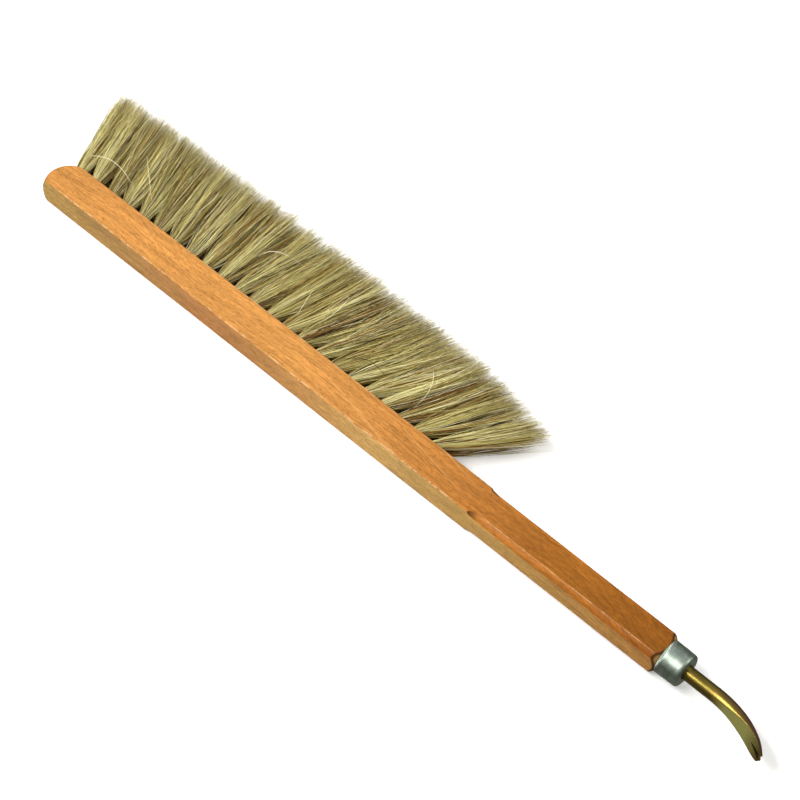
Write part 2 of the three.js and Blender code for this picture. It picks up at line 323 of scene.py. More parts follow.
def edge_radius(x):
    """Radius of the bar's long edges: small on the head, and large past the stop."""
    run = np.clip(x / STOP_LENGTH, 0, 1)
    ease = np.sqrt(1 - (1 - run) ** 2)
    return lerp(HEAD_EDGE_RADIUS, HANDLE_EDGE_RADIUS, ease)


def crown(x):
    """How far the bristle face bulges at x."""
    along = np.clip(-x / HEAD_LENGTH, 0, 1)
    return FACE_CROWN * np.sin(np.pi * along)


def turned_radius(x):
    """Largest radius left by the lathe at x: a cone, then the tenon."""
    cone = CONE_RADIUS + np.maximum(HANDLE_LENGTH - x, 0)
    far_from_end = x < HANDLE_LENGTH - CONE_RISE
    radius = np.where(far_from_end, UNTURNED_RADIUS, cone)
    return np.where(x > HANDLE_LENGTH, TENON_RADIUS, radius)


def inside_bar(x, y, z):
    """True where a point is in the wood, before its holes are drilled."""
    radius = edge_radius(x)
    half_z = np.where(x > HANDLE_LENGTH, MID_Z - TENON_FLAT_GAP, MID_Z)
    top = FACE_Y + crown(x)
    out_y = np.maximum(np.maximum(y - (top - radius), (-FACE_Y + radius) - y), 0)
    out_z = np.maximum(np.abs(z - MID_Z) - (half_z - radius), 0)
    in_section = np.hypot(out_y, out_z) <= radius
    in_lathe = np.hypot(y, z - MID_Z) <= turned_radius(x)
    height = np.clip((z - MID_Z) / (MID_Z + TIP_BLUNTING), -1, 1)
    fall = TIP_FALL_LENGTH * (1 - np.sqrt(1 - height**2))
    from_centre = x - (-HEAD_LENGTH + TIP_RADIUS + fall)
    in_tip = (from_centre >= 0) | (np.hypot(from_centre, y - TIP_CENTRE_Y) <= TIP_RADIUS)
    return in_section & in_lathe & in_tip


def section_directions():
    """Directions from the bar's centre, close together towards the four corners."""
    corner = math.atan2(MID_Z, FACE_Y)
    corners = [corner, math.pi - corner, math.pi + corner, 2 * math.pi - corner]
    angles = []
    for index, centre in enumerate(corners):
        following = corners[(index + 1) % 4] + (2 * math.pi if index == 3 else 0)
        start, end = centre - CORNER_SPAN, centre + CORNER_SPAN
        angles += list(np.linspace(start, end, 2 * CORNER_STEPS, endpoint=False))
        angles += list(np.linspace(end, following - CORNER_SPAN, SIDE_STEPS, endpoint=False))
    return np.array(angles)


def bar_stations():
    """Where the bar's sections stand along X, close together where its shape changes."""
    tip = -HEAD_LENGTH + TIP_STATIONS_SPAN * np.linspace(0.02, 1, TIP_STATIONS) ** 2
    head = np.arange(-HEAD_LENGTH + TIP_STATIONS_SPAN + 1.5, -1.0, STATION_STEP)
    stop = np.linspace(-0.6, STOP_LENGTH + 0.4, 40)
    handle = np.arange(STOP_LENGTH + 2, HANDLE_LENGTH - CONE_RISE - 1, STATION_STEP)
    cone = np.linspace(HANDLE_LENGTH - CONE_RISE - 0.2, HANDLE_LENGTH - 0.02, 42)
    tenon = HANDLE_LENGTH + np.array([0.02, 0.4, 5.0, TENON_LENGTH - 0.4, TENON_LENGTH])
    return np.concatenate([tip, head, stop, handle, cone, tenon])


def surface_waves(x, angle):
    """Slight unevenness of sanded wood, in millimetres."""
    long_wave = np.sin(x / LONG_WAVE + 2 * np.sin(angle))
    short_wave = np.sin(x / SHORT_WAVE + 3 * np.cos(angle) + 1.3)
    return WAVE_HEIGHT * (long_wave + 0.6 * short_wave)


def reach_of_wood(x, centre_y, angle):
    """How far the wood reaches from a section's centre in each direction, found by halving."""
    low, high = np.zeros_like(x), np.full_like(x, SEARCH_RADIUS)
    for _ in range(SEARCH_STEPS):
        middle = (low + high) / 2
        inside = inside_bar(x, centre_y + middle * np.cos(angle), MID_Z + middle * np.sin(angle))
        low = np.where(inside, middle, low)
        high = np.where(inside, high, middle)
    return low


def bar_points():
    """Points of the bar's surface, then the number of sections and of points in each."""
    stations, directions = bar_stations(), section_directions()
    x, angle = np.meshgrid(stations, directions, indexing="ij")
    in_tip = 1 - smoothstep(x, -HEAD_LENGTH, -HEAD_LENGTH + TIP_CENTRE_SPAN)
    centre_y = TIP_CENTRE_Y * in_tip
    reach = reach_of_wood(x, centre_y, angle)
    sanded = smoothstep(reach, 2, 7) * (x < HANDLE_LENGTH - CONE_RISE)
    reach = reach + surface_waves(x, angle) * sanded
    y = centre_y + reach * np.cos(angle)
    z = MID_Z + reach * np.sin(angle)
    return np.stack([x, y, z], axis=-1), len(stations), len(directions)


def turned_cutter(profile, segments):
    """A closed solid turned about the bar's centre line from [x, radius] pairs."""
    angle = np.arange(segments) * (2 * math.pi / segments)
    rings = []
    for x, radius in profile:
        y = radius * np.cos(angle)
        z = MID_Z + radius * np.sin(angle)
        rings.append(np.stack([np.full(segments, x), y, z], axis=-1))
    return cutter_object(np.concatenate(rings), ring_faces(len(rings), segments))


def tuft_line(node):
    """Centre of a CAD tuft's foot and of its top, in millimetres."""
    points = np.array([v.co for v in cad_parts[node].data.vertices], float) / MM
    low, high = points[:, 1].min(), points[:, 1].max()
    foot = points[points[:, 1] < low + 0.5].mean(axis=0)
    top = points[points[:, 1] > high - 0.5].mean(axis=0)
    return foot, top


def hole_cutter(foot, top):
    """A drill that follows one tuft into the bristle face."""
    lean = (top - foot) / (top[1] - foot[1])
    angle = np.arange(HOLE_SIDES) * (2 * math.pi / HOLE_SIDES)
    circle = np.stack([np.sin(angle), np.zeros(HOLE_SIDES), np.cos(angle)], axis=-1)
    rings = []
    for height in (-HOLE_DEPTH, 2.0):
        centre = foot + lean * (FACE_Y + height - foot[1])
        rings.append(centre + HOLE_RADIUS * circle)
    return np.concatenate(rings), ring_faces(2, HOLE_SIDES)


def tuft_names():
    return sorted(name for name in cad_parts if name.startswith("tuft_"))


def all_holes():
    """One cutter with the drills for all tufts, which don't touch each other."""
    points, faces = [], []
    for name in tuft_names():
        drill_points, drill_faces = hole_cutter(*tuft_line(name))
        offset = sum(len(p) for p in points)
        points.append(drill_points)
        faces += [tuple(i + offset for i in face) for face in drill_faces]
    return cutter_object(np.concatenate(points), faces)


def build_wood(material):
    points, rings, per_ring = bar_points()
    faces = ring_faces(rings, per_ring)
    piece = make_piece("wood_bar", points.reshape(-1, 3), faces, material)
    bore_end = HANDLE_LENGTH + TENON_LENGTH
    bore_profile = [[bore_end - BORE_DEPTH, BORE_RADIUS], [bore_end + 1, BORE_RADIUS]]
    bore = turned_cutter(bore_profile, BORE_SIDES)
    cut(piece, [all_holes(), bore], WOOD_SHARP_DEGREES)
    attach(piece, BODY)
    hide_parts("wood_body")


# ================================================================ ferrule


def ferrule_profile():
    """Outline as [x, radius, how far the teeth bite], all the way round the wall."""
    low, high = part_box("ferrule")
    start, end = low.x / MM, high.x / MM
    rim = (high.z - low.z) / MM / 2
    inner = rim - FERRULE_WALL
    corner_radius = rim - FERRULE_TAPER - FERRULE_CORNER
    hole = ROD_RADIUS + ROD_CLEARANCE
    inner_end = end - FERRULE_WALL
    outline = []
    for t in np.linspace(0, 1, 14):
        radius = rim - FERRULE_TAPER * 0.2 * t
        outline.append([start + TEETH_REACH * t, radius, (1 - t) ** TEETH_FADE])
    for x in np.linspace(start + TEETH_REACH + 0.6, end - FERRULE_CORNER, 12):
        outline.append([x, rim - FERRULE_TAPER * (x - start) / (end - start), 0])
    for step in np.linspace(0, math.pi / 2, 9)[1:]:
        x = end - FERRULE_CORNER + FERRULE_CORNER * math.sin(step)
        outline.append([x, corner_radius + FERRULE_CORNER * math.cos(step), 0])
    outline += [[end - 0.05, lerp(corner_radius, hole, t), 0] for t in (0.35, 0.7, 0.93)]
    outline += [[end - 0.15, hole, 0], [inner_end + LIP_RADIUS, hole, 0]]
    outline += [[inner_end, hole + LIP_RADIUS, 0], [inner_end, corner_radius - 0.2, 0]]
    outline.append([end - FERRULE_CORNER, inner - FERRULE_TAPER, 0])
    for t in (0.8, 0.4, 0.02):
        outline.append([start + TEETH_REACH * t, inner, (1 - t) ** TEETH_FADE])
    outline += [[start, rim - FERRULE_WALL * 0.7, 1], [start, rim - 0.15, 1]]
    return outline


def build_ferrule(material):
    per_ring = RIM_TEETH * POINTS_PER_TOOTH
    angle = np.arange(per_ring) * (2 * math.pi / per_ring)
    tooth = (0.5 + 0.5 * np.cos(RIM_TEETH * angle)) ** 1.5
    rings = []
    for x, radius, bite in ferrule_profile():
        dents = 0.02 * np.sin(3 * angle + x * 0.7) + 0.012 * np.sin(7 * angle - x)
        radii = radius - TEETH_DEPTH * bite * tooth + dents * (1 - bite)
        y = radii * np.cos(angle)
        z = MID_Z + radii * np.sin(angle)
        rings.append(np.stack([np.full(per_ring, x), y, z], axis=-1))
    faces = loop_faces(len(rings), per_ring)
    piece = make_piece("ferrule_cap", np.concatenate(rings), faces, material)
    piece.data.set_sharp_from_angle(angle=math.radians(FERRULE_SHARP_DEGREES))
    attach(piece, BODY)
    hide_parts("ferrule")


# ================================================================ nail claw


def claw_frames(distance):
    """Centre, tangent, way to the hollow and way across, at distances past the bend's start."""
    angle = BEND_ANGLE * np.asarray(distance, float)[:, None] / BEND_LENGTH
    radius = BEND_LENGTH / BEND_ANGLE
    hollow = np.array([0, -math.cos(BEND_ROLL), math.sin(BEND_ROLL)])
    along = np.array([1.0, 0, 0])
    centre = np.array([BEND_START, 0, MID_Z]) + along * radius * np.sin(angle)
    centre = centre + hollow * radius * (1 - np.cos(angle))
    tangent = along * np.cos(angle) + hollow * np.sin(angle)
    to_hollow = hollow * np.cos(angle) - along * np.sin(angle)
    across = np.cross(tangent, to_hollow)
    return centre, tangent, to_hollow, across


def soft_min(a, b, width):
    """The smaller of two values, blended where they are closer than width."""
    h = np.clip(0.5 + 0.5 * (b - a) / width, 0, 1)
    return b + (a - b) * h - width * h * (1 - h)


def claw_rings(run):
    """Sections over the bend: the hollow side is ground flat, deeper towards the tip."""
    centre, _, to_hollow, across = claw_frames(run * BEND_LENGTH)
    flat = lerp(ROD_RADIUS + 0.4, TIP_THICKNESS - ROD_RADIUS, run**FLAT_ONSET)[:, None]
    end_run = np.maximum(0, (run - TINE_ROUNDING_START) / (1 - TINE_ROUNDING_START))
    rounding = np.sqrt(1 - TINE_ROUNDING * end_run**2)
    half_width = (lerp(ROD_RADIUS, BLADE_HALF_WIDTH, run) * rounding)[:, None]
    angle = ((np.arange(CLAW_SIDES) + 0.5) * (2 * math.pi / CLAW_SIDES))[None, :]
    depth = soft_min(ROD_RADIUS * np.cos(angle), flat, GROUND_EDGE)
    width = half_width * np.sin(angle)
    rings = centre[:, None, :] + to_hollow[:, None, :] * depth[:, :, None]
    return rings + across[:, None, :] * width[:, :, None]


def tang_rings():
    """Sections of the straight rod and of its point inside the wood."""
    _, _, to_hollow, across = claw_frames([0])
    end = HANDLE_LENGTH + TENON_LENGTH - TANG_LENGTH
    angle = (np.arange(CLAW_SIDES) + 0.5) * (2 * math.pi / CLAW_SIDES)
    circle = to_hollow * np.cos(angle)[:, None] + across * np.sin(angle)[:, None]
    rings = [circle * ROD_RADIUS * 0.08 + np.array([end, 0, MID_Z])]
    for x in np.linspace(end + TANG_POINT_LENGTH, BEND_START - 1, ROD_RINGS):
        rings.append(circle * ROD_RADIUS + np.array([x, 0, MID_Z]))
    return np.array(rings)


def notch_outline():
    """The notch along and across the claw's tip: a wedge with a round root."""
    root_angles = np.linspace(-1.5, 1.5, 7)
    root = NOTCH_ROOT_RADIUS
    outline = [(-NOTCH_LENGTH - root * math.cos(a), root * math.sin(a)) for a in root_angles]
    side = []
    for t in np.linspace(0, 1, 9)[1:]:
        side.append((lerp(-NOTCH_LENGTH, 2, t), lerp(root, NOTCH_HALF_WIDTH, t)))
    outline = [(u, -v) for u, v in reversed(side)] + outline + side
    outline.reverse()
    return outline


def notch_cutter():
    centre, tangent, _, across = (v[0] for v in claw_frames([BEND_LENGTH]))
    through = np.cross(tangent, across)
    outline = notch_outline()
    rings = []
    for depth in (-20, 20):
        rings.append([centre + tangent * u + across * v + through * depth for u, v in outline])
    return cutter_object(np.concatenate(rings), ring_faces(2, len(outline)))


def build_claw(material):
    rings = np.concatenate([tang_rings(), claw_rings(np.linspace(0, 1, CLAW_RINGS))])
    faces = ring_faces(len(rings), CLAW_SIDES)
    piece = make_piece("claw_rod", rings.reshape(-1, 3), faces, material)
    cut(piece, [notch_cutter()], CLAW_SHARP_DEGREES)
    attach(piece, BODY)
    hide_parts("nail_claw")


# ================================================================ bristles


def random_disc(rng, count):
    """Points spread evenly over a disc of radius 1."""
    radius = np.sqrt(rng.random(count))
    angle = rng.random(count) * 2 * math.pi
    return np.stack([radius * np.cos(angle), radius * np.sin(angle)], axis=-1)


def hair_lengths(rng, count, full):
    """Hair lengths above the wood: most about full, some short and some a bit long."""
    length = full * (MEAN_LENGTH + rng.normal(0, LENGTH_VARIATION, count))
    short = rng.random(count) < SHORT_SHARE
    length[short] *= rng.uniform(*SHORT_LENGTH, short.sum())
    long = rng.random(count) < LONG_SHARE
    length[long] += rng.uniform(*LONG_EXTRA, long.sum())
    return length


def hair_leans(rng, lock):
    """How far each hair leans and bends, together with its tuft and its lock and on its own."""
    count = len(lock)
    lean = rng.normal(0, TUFT_LEAN, 2) + rng.normal(0, LOCK_LEAN, (LOCKS_PER_TUFT, 2))[lock]
    lean = lean + rng.normal(0, HAIR_LEAN, (count, 2))
    wild = rng.random(count) < WILD_SHARE
    lean[wild] += rng.normal(0, WILD_LEAN, (wild.sum(), 2))
    bend = rng.normal(0, LOCK_BEND, (LOCKS_PER_TUFT, 2))[lock]
    bend = bend + rng.normal(0, HAIR_BEND, (count, 2))
    return lean * LEAN_SHARE, bend * LEAN_SHARE


def hair_roots(rng):
    """Where hairs and locks stand in a hole of radius 1, and which lock each hair belongs to."""
    root = random_disc(rng, HAIRS_PER_TUFT)
    lock_root = random_disc(rng, LOCKS_PER_TUFT) * 0.95
    lock = np.argmin(((root[:, None] - lock_root[None]) ** 2).sum(-1), axis=1)
    return root, lock_root, lock


def tuft_spine(foot, tuft_lean, height, up):
    """The tuft's middle at each hair's heights; a tuft that leans to the handle bows out."""
    base = foot + tuft_lean * (FACE_Y - foot[1])
    to_handle = max(tuft_lean[0], 0.0)
    bow = TUFT_BOW * to_handle / (0.2 + to_handle)
    points = base + tuft_lean * height[:, :, None]
    points[:, :, 0] += bow * 4 * up * np.maximum(1 - up, 0)
    return points


def hair_paths(rng, foot, top, tuck, trim_slope):
    """Centre points of a tuft's hairs by hair, point, axis; then each hair's lock and root."""
    full = top[1] - FACE_Y
    root, lock_root, lock = hair_roots(rng)
    lean, bend = hair_leans(rng, lock)
    fullness = rng.uniform(*TUFT_FULLNESS)
    spread_height = rng.uniform(*SPREAD_HEIGHT)
    wave = rng.normal(0, HAIR_WAVE, (HAIRS_PER_TUFT, 2))
    phase = rng.random(HAIRS_PER_TUFT)[:, None] * 2 * math.pi
    reach = TUFT_ROOT_RADIUS * root[:, 0] * (1 + fullness * TUFT_SPREAD[0]) + lean[:, 0] * full
    length = hair_lengths(rng, HAIRS_PER_TUFT, full + trim_slope * reach)[:, None]
    share = np.linspace(0, 1, HAIR_RINGS)[None, :]
    height = -ROOT_DEPTH + (length + ROOT_DEPTH) * share
    above = np.maximum(height, 0)
    up = above / full
    released = 1 - LOCK_RELEASE * smoothstep(up, 0.6, 1.0)
    gather = LOCK_GATHER * smoothstep(up, 0.05, 0.6) * released
    points = tuft_spine(foot, (top - foot) / (top[1] - foot[1]), height, up)
    for i, axis in enumerate((0, 2)):
        spread = 1 + fullness * TUFT_SPREAD[i] * (1 - np.exp(-above / spread_height))
        gathered = lerp(root[:, i, None], lock_root[lock, i, None], gather)
        across = TUFT_ROOT_RADIUS * gathered * spread
        across = across + lean[:, i, None] * above + bend[:, i, None] * up**2
        across = across + wave[:, i, None] * np.sin(up * WAVE_TURN + phase) * up
        if axis == 0:
            tucked = across * lerp(1.0, tuck, smoothstep(up, 0.0, 0.3))
            across = np.where(across < 0, tucked, across)
        points[:, :, axis] += across
    return points, lock, root


def rest_on_floor(paths):
    """Hairs that would reach the table lie on it."""
    floor_z = CAD_BOX[0].z / MM + FLOOR_GAP
    paths[:, :, 2] = np.maximum(paths[:, :, 2], floor_z)
    return paths


def hair_tones(rng, lock, root, foot_x):
    """One tone per hair; tufts are a little darker towards the handle, and painted shade darkens
    each tuft's sides.
    """
    count = len(lock)
    along = 1 + foot_x / HEAD_LENGTH
    tuft_tone = lerp(TIP_TONE, MIDDLE_TONE, smoothstep(along, 0.2, 0.7))
    tuft_tone = tuft_tone - HANDLE_TONE_DROP * smoothstep(along, 0.6, 0.9)
    lock_tone = rng.normal(0, LOCK_TONE_VARIATION, LOCKS_PER_TUFT)
    lock_tone = np.minimum(lock_tone, LOCK_TONE_LIMIT)
    tone = tuft_tone + rng.normal(0, TUFT_TONE_VARIATION) + lock_tone[lock]
    tone = tone + rng.normal(0, HAIR_TONE_VARIATION, count)
    # Painted shade: darker at the tuft's sides along the bar, lighter in its middle.
    tone = np.minimum(tone + EDGE_SHADE_DROP * (0.5 - np.abs(root[:, 0])), PALE_LIMIT)
    kind = rng.random(count)
    tone = np.where(kind < DARK_SHARE, rng.uniform(*DARK_TONES, count), tone)
    brown = (kind >= DARK_SHARE) & (kind < DARK_SHARE + BROWN_SHARE)
    tone = np.where(brown, rng.uniform(*BROWN_TONES, count), tone)
    tone = np.where(kind > 1 - PALE_SHARE, rng.uniform(*PALE_TONES, count), tone)
    return np.clip(tone, 0, 1)


def hair_tubes(paths, root_radius):
    """Points of closed tapered tubes round each path, as an array of hair, ring, side, axis."""
    tangent = np.gradient(paths, axis=1)
    tangent /= np.linalg.norm(tangent, axis=-1, keepdims=True)
    side = np.cross(tangent, OFF_HAIR)
    side /= np.linalg.norm(side, axis=-1, keepdims=True)
    other = np.cross(tangent, side)
    taper = smoothstep(np.linspace(0, 1, paths.shape[1]), TAPER_START, 1.0)
    radius = lerp(root_radius, HAIR_TIP_RADIUS, taper)[None, :, None, None]
    angle = np.arange(HAIR_SIDES) * (2 * math.pi / HAIR_SIDES)
    circle = side[:, :, None] * np.cos(angle)[:, None]
    circle = circle + other[:, :, None] * np.sin(angle)[:, None]
    return paths[:, :, None] + circle * radius


def tube_topology(hairs, rings, sides):
    """Loop corners and face sizes of closed tubes, for any number of hairs."""
    faces = ring_faces(rings, sides)
    corners = np.array([corner for face in faces for corner in face])
    sizes = np.array([len(face) for face in faces])
    offset = (np.arange(hairs) * rings * sides)[:, None]
    return (corners[None] + offset).ravel(), np.tile(sizes, hairs)


def bake_layout(mesh, tone, rings):
    """A UV layer for colour maps: tone to the right, and root to tip upwards."""
    per_hair = rings * HAIR_SIDES
    corner = np.empty(len(mesh.loops), np.int32)
    mesh.loops.foreach_get("vertex_index", corner)
    within = corner % per_hair
    side_shift = (within % HAIR_SIDES) / (HAIR_SIDES - 1) - 0.5
    u = 0.01 + 0.98 * tone[corner // per_hair] + 0.01 * side_shift
    v = (within // HAIR_SIDES) / (rings - 1)
    layer = mesh.uv_layers.new(name="OFBake")
    layer.data.foreach_set("uv", np.stack([u, v], axis=-1).astype(np.float32).ravel())


def add_numbers(mesh, name, values):
    """Stores one number per point, which a material reads by name."""
    attribute = mesh.attributes.new(name, "FLOAT", "POINT")
    attribute.data.foreach_set("value", values.astype(np.float32))


def hair_piece(name, paths, tone, material, root_radius=HAIR_ROOT_RADIUS):
    """A piece of closed hair tubes round the paths, with a tone for each."""
    hairs, rings, _ = paths.shape
    points = hair_tubes(paths, root_radius).reshape(-1, 3) * MM
    corners, sizes = tube_topology(hairs, rings, HAIR_SIDES)
    mesh = bpy.data.meshes.new(name)
    mesh.vertices.add(len(points))
    mesh.vertices.foreach_set("co", points.astype(np.float32).ravel())
    mesh.loops.add(len(corners))
    mesh.loops.foreach_set("vertex_index", corners.astype(np.int32))
    mesh.polygons.add(len(sizes))
    starts = np.concatenate([[0], np.cumsum(sizes)[:-1]])
    mesh.polygons.foreach_set("loop_start", starts.astype(np.int32))
    mesh.polygons.foreach_set("use_smooth", np.ones(len(sizes), bool))
    add_numbers(mesh, "tone", np.repeat(tone, rings * HAIR_SIDES))
    along = np.repeat(np.linspace(0, 1, rings), HAIR_SIDES)
    add_numbers(mesh, "along", np.tile(along, hairs))
    mesh.update()
    mesh.validate()
    bake_layout(mesh, tone, rings)
    mesh.materials.append(material)
    piece = bpy.data.objects.new(name, mesh)
    bpy.context.scene.collection.objects.link(piece)
    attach(piece, BODY)
    return piece


def trim_slopes():
    """How fast the trimmed edge of the hair rises along the bar, for each tuft."""
    slopes = {}
    for row in ("near", "far"):
        names = [name for name in tuft_names() if row in name]
        tops = np.array([tuft_line(name)[1] for name in names])
        slopes.update(zip(names, np.gradient(tops[:, 1], tops[:, 0])))
    return slopes


def build_tufts(material):
    """One bundle of hairs for each CAD tuft, along the tuft's own line."""
    slopes = trim_slopes()
    for index, name in enumerate(tuft_names()):
        rng = np.random.default_rng(HAIR_SEED + index)
        foot, top = tuft_line(name)
        tuck = END_TUCK if name.endswith("_01") else 1.0
        paths, lock, root = hair_paths(rng, foot, top, tuck, slopes[name])
        tones = hair_tones(rng, lock, root, foot[0])
        hair_name = name.replace("tuft", "hair")
        piece = hair_piece(hair_name, rest_on_floor(paths), tones, material)
        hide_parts(name)


def curve_through(start, middle, end, rings):
    """Points of a smooth curve through three points."""
    t = np.linspace(0, 1, rings)[:, None]
    from_start = np.array(start, float) * (1 - t) * (1 - 2 * t)
    from_middle = np.array(middle, float) * 4 * t * (1 - t)
    return from_start + from_middle + np.array(end, float) * t * (2 * t - 1)


def build_stray_hairs(material):
    """Loose hairs that have fallen across the front of the tufts."""
    rise = STRAY_Z + STRAY_RISE * np.sin(np.pi * np.linspace(0, 1, STRAY_RINGS))
    paths = []
    for start, middle, end, _ in STRAY_HAIRS:
        flat = curve_through(start, middle, end, STRAY_RINGS)
        paths.append(np.column_stack([flat, rise]))
    tones = np.array([hair[3] for hair in STRAY_HAIRS])
    hair_piece("hair_stray", np.array(paths), tones, material, STRAY_RADIUS)


# ================================================================ materials


def rgb(red, green, blue):
    """A colour given as 0-255 screen values, as linear light."""
    def linear(value):
        value /= 255
        return value / 12.92 if value <= 0.04045 else ((value + 0.055) / 1.055) ** 2.4
    return linear(red), linear(green), linear(blue), 1.0


class Nodes:
    """Short calls for the nodes used here, in any node tree."""

    def __init__(self, tree):
        self.tree = tree

    def new(self, kind, **inputs):
        """A new node with its inputs fed."""
        node = self.tree.nodes.new("ShaderNode" + kind)
        for name, value in inputs.items():
            self.feed(node.inputs[name.replace("_", " ")], value)
        return node

    def feed(self, socket, value):
        """Gives an input a plain value, or links it to another node's output."""
        if isinstance(value, bpy.types.NodeSocket):
            self.tree.links.new(value, socket)
        else:
            socket.default_value = value

    def math(self, operation, a, b=0.0, clamp=False):
        node = self.new("Math")
        node.operation = operation
        node.use_clamp = clamp
        self.feed(node.inputs[0], a)
        self.feed(node.inputs[1], b)
        return node.outputs[0]

    def times(self, first, *others):
        """Product of several numbers."""
        for other in others:
            first = self.math("MULTIPLY", first, other)
        return first

    def levels(self, factor, low, high, out_low=0.0, out_high=1.0):
        """Maps low..high to out_low..out_high, and holds the ends."""
        node = self.new("MapRange", Value=factor, From_Min=low, From_Max=high)
        self.feed(node.inputs["To Min"], out_low)
        self.feed(node.inputs["To Max"], out_high)
        return node.outputs["Result"]

    def mix(self, factor, a, b):
        """Colour a where the factor is 0 and b where it is 1."""
        node = self.new("Mix")
        node.data_type = "RGBA"
        self.feed(node.inputs["Factor"], factor)
        self.feed(node.inputs[6], a)
        self.feed(node.inputs[7], b)
        return node.outputs[2]

    def ramp(self, factor, stops):
        node = self.new("ValToRGB", Fac=factor)
        elements = node.color_ramp.elements
        while len(elements) < len(stops):
            elements.new(0.5)
        for element, (position, colour) in zip(elements, stops):
            element.position = position
            element.color = colour
        return node.outputs["Color"]

    def split(self, vector):
        return self.new("SeparateXYZ", Vector=vector).outputs

    def join(self, x, y, z):
        return self.new("CombineXYZ", X=x, Y=y, Z=z).outputs["Vector"]

    def light_path(self, name):
        """1 for the named kind of ray and 0 for all others."""
        return self.new("LightPath").outputs[name]


class Shader(Nodes):
    """A new material, its coordinates and what makes up its surface."""

    def __init__(self, name):
        self.material = bpy.data.materials.new(name)
        self.material.use_nodes = True
        super().__init__(self.material.node_tree)
        self.surface = self.tree.nodes["Principled BSDF"]
        self.place = self.new("TexCoord").outputs["Object"]
        self.geometry = self.new("NewGeometry")

    def set(self, **values):
        """Feeds the surface's inputs; a low line stands for a space."""
        for key, value in values.items():
            self.feed(self.surface.inputs[key.replace("_", " ")], value)

    def turned(self, degrees):
        """Place on the object in metres, turned about Z."""
        rotation = (0, 0, math.radians(degrees))
        return self.new("Mapping", Vector=self.place, Rotation=rotation).outputs["Vector"]

    def noise(self, scale, detail, roughness=0.5, distortion=0.0, place=None):
        """Noise with its own scale along each axis, on the object or on another place."""
        mapped = self.new("Mapping", Vector=place or self.place, Scale=scale)
        node = self.new("TexNoise", Vector=mapped.outputs["Vector"], Scale=1.0, Detail=detail)
        self.feed(node.inputs["Roughness"], roughness)
        self.feed(node.inputs["Distortion"], distortion)
        return node.outputs["Fac"]

    def facing(self, blend):
        """0 where the surface faces the viewer and 1 at its outline."""
        return self.new("LayerWeight", Blend=blend).outputs["Facing"]

    def scaled(self, colour, factor):
        node = self.new("VectorMath")
        node.operation = "SCALE"
        self.feed(node.inputs[0], colour)
        self.feed(node.inputs["Scale"], factor)
        return node.outputs[0]

    def attribute(self, name):
        node = self.new("Attribute")
        node.attribute_name = name
        return node.outputs["Fac"]

    def bump(self, height, strength, distance):
        node = self.new("Bump", Height=height, Strength=strength, Distance=distance)
        self.feed(self.surface.inputs["Normal"], node.outputs["Normal"])


def edge_distance(s, y, z):
    """Metres from a point of the bar's end to the rounded outline of the handle."""
    from_y = s.math("SUBTRACT", s.math("ABSOLUTE", y), (FACE_Y - HANDLE_EDGE_RADIUS) * MM)
    from_z = s.math("ABSOLUTE", s.math("SUBTRACT", z, MID_Z * MM))
    from_z = s.math("SUBTRACT", from_z, (MID_Z - HANDLE_EDGE_RADIUS) * MM)
    out_y = s.math("POWER", s.math("MAXIMUM", from_y, 0.0), 2.0)
    out_z = s.math("POWER", s.math("MAXIMUM", from_z, 0.0), 2.0)
    out = s.math("SQRT", s.math("ADD", out_y, out_z))
    return s.math("SUBTRACT", HANDLE_EDGE_RADIUS * MM, out)


def cone_distance(s, x, y, z):
    """Metres from a point inside the lathe's cone to the cone."""
    across = s.math("POWER", y, 2.0)
    rise = s.math("POWER", s.math("SUBTRACT", z, MID_Z * MM), 2.0)
    radius = s.math("SQRT", s.math("ADD", across, rise))
    cone = s.math("SUBTRACT", (CONE_RADIUS + HANDLE_LENGTH) * MM, x)
    return s.math("SUBTRACT", cone, radius)


def wood_tints(s, x):
    """Colours of the wide faces, the back and the handle's rounded edges along the bar."""
    along = s.levels(x, -HEAD_LENGTH * MM, HANDLE_LENGTH * MM)
    face = s.ramp(along, [
        (0.0, rgb(190, 130, 64)), (0.4, rgb(196, 136, 68)), (0.55, rgb(186, 126, 60)),
        (0.72, rgb(168, 106, 42)), (0.82, rgb(149, 91, 26)), (1.0, rgb(137, 80, 13)),
    ])
    back = s.ramp(along, [
        (0.0, rgb(176, 140, 75)), (0.12, rgb(171, 131, 73)), (0.28, rgb(178, 122, 68)),
        (0.45, rgb(190, 138, 76)), (0.56, rgb(200, 158, 90)), (0.75, rgb(178, 138, 74)),
        (1.0, rgb(165, 114, 52)),
    ])
    edge = s.ramp(along, [
        (0.7, rgb(186, 116, 42)), (0.85, rgb(174, 104, 28)), (1.0, rgb(148, 82, 14)),
    ])
    return face, back, edge


def wood_grain(s):
    """Streaks, short fibres and pores, which follow a slow drift of the grain."""
    drift = s.noise((7, 7, 7), 1.0, 0.4)
    drift = s.math("MULTIPLY", s.math("SUBTRACT", drift, 0.5), 0.05)
    x, y, z = s.split(s.place)
    bent = s.join(x, s.math("ADD", y, drift), s.math("ADD", z, drift))
    streaks = s.noise((50, 900, 900), 3.0, 0.65, 0.3, place=bent)
    fibres = s.noise((260, 1500, 1500), 2.0, 0.6, 0.2, place=bent)
    pores = s.noise((420, 1900, 1900), 1.0, 0.5, place=bent)
    return streaks, fibres, pores


